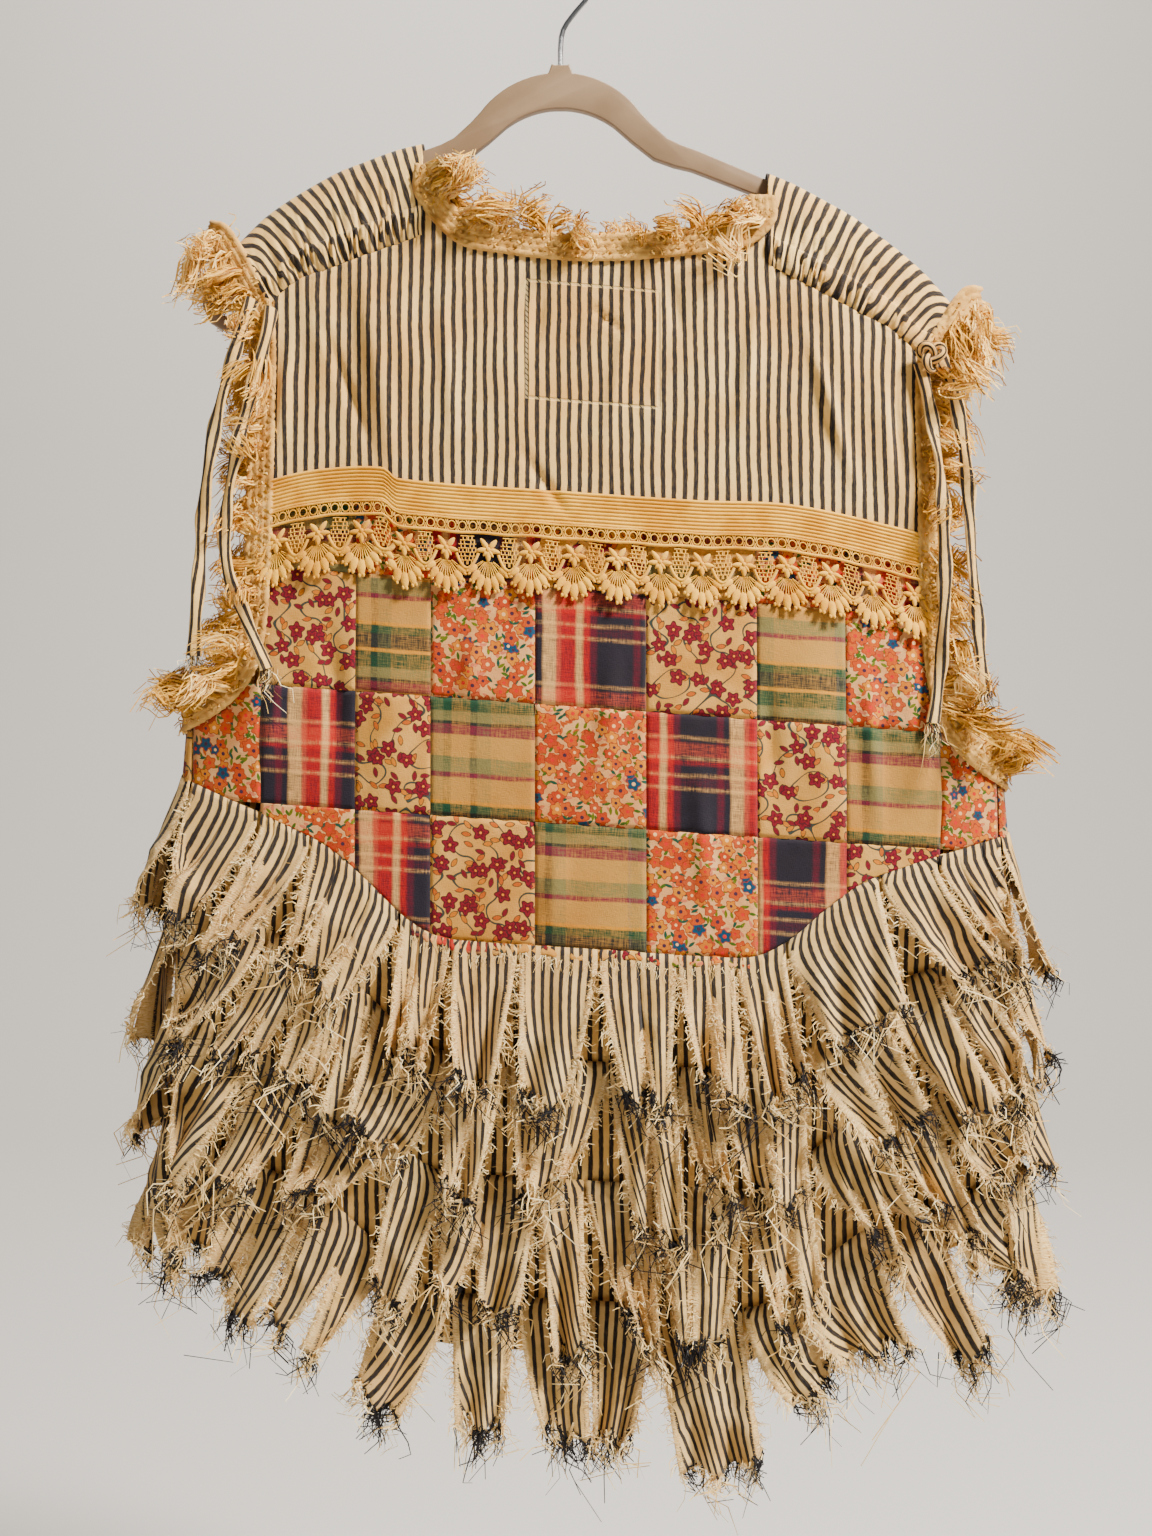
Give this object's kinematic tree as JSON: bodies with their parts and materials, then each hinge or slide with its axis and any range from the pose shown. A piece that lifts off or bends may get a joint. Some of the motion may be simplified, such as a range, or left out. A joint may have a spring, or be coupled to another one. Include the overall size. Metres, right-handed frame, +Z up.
{
  "type": "patchwork vest on a hanger",
  "caption": "Sleeveless patchwork vest with torn ruffle tiers, lace edging and drawstring shoulders, hanging open on a hanger.",
  "frame": {"origin": "inside top of the hanger's hook, where a rail carries it", "axes": "+Z up, +X along the hanger, -Y out of the garment's back"},
  "size_m": [0.5581, 0.1311, 0.911],
  "materials": {
    "ticking": "cream and charcoal striped cotton ticking",
    "vine_floral": "printed cotton, vine pattern",
    "green_plaid": "woven cotton plaid",
    "orange_floral": "printed cotton, small flowers",
    "red_plaid": "woven cotton plaid",
    "lace": "cotton crochet lace",
    "yarn": "frayed cotton yarn",
    "hanger_plastic": "satin",
    "hook_steel": "polished wire"
  },
  "bodies": {
    "root": {"hanger": "hanger_plastic", "hook": "hook_steel", "yoke_back": "ticking", "band_left": "ticking", "band_right": "ticking", "lace_back": "lace", "patch_r1_c1": "vine_floral", "patch_r1_c2": "green_plaid", "patch_r1_c3": "orange_floral", "patch_r1_c4": "red_plaid", "patch_r1_c5": "vine_floral", "patch_r1_c6": "green_plaid", "patch_r1_c7": "orange_floral", "patch_r2_c0": "orange_floral", "patch_r2_c1": "red_plaid", "patch_r2_c2": "vine_floral", "patch_r2_c3": "green_plaid", "patch_r2_c4": "orange_floral", "patch_r2_c5": "red_plaid", "patch_r2_c6": "vine_floral", "patch_r2_c7": "green_plaid", "patch_r2_c8": "orange_floral", "patch_r3_c1": "orange_floral", "patch_r3_c2": "red_plaid", "patch_r3_c3": "vine_floral", "patch_r3_c4": "green_plaid", "patch_r3_c5": "orange_floral", "patch_r3_c6": "red_plaid", "patch_r3_c7": "vine_floral", "patch_strip_top": "vine_floral", "front_upper_left": "ticking", "front_upper_right": "ticking", "front_patchwork_left": "orange_floral", "front_patchwork_right": "orange_floral", "skirt_back": "ticking", "skirt_left": "ticking", "skirt_right": "ticking", "tier_1_back": "ticking", "tier_1_left": "ticking", "tier_1_right": "ticking", "tier_2_back": "ticking", "tier_2_left": "ticking", "tier_2_right": "ticking", "tier_3_back": "ticking", "tier_3_left": "ticking", "tier_3_right": "ticking", "tier_4_back": "ticking", "tier_4_left": "ticking", "tier_4_right": "ticking", "trim_neck": "yarn", "trim_armhole_left": "yarn", "trim_armhole_right": "yarn", "trim_front_left": "yarn", "trim_front_right": "yarn", "tie_left_outer": "ticking", "tie_left_inner": "ticking", "tie_right_inner": "ticking", "tie_right_outer": "ticking"}
  },
  "joints": []
}
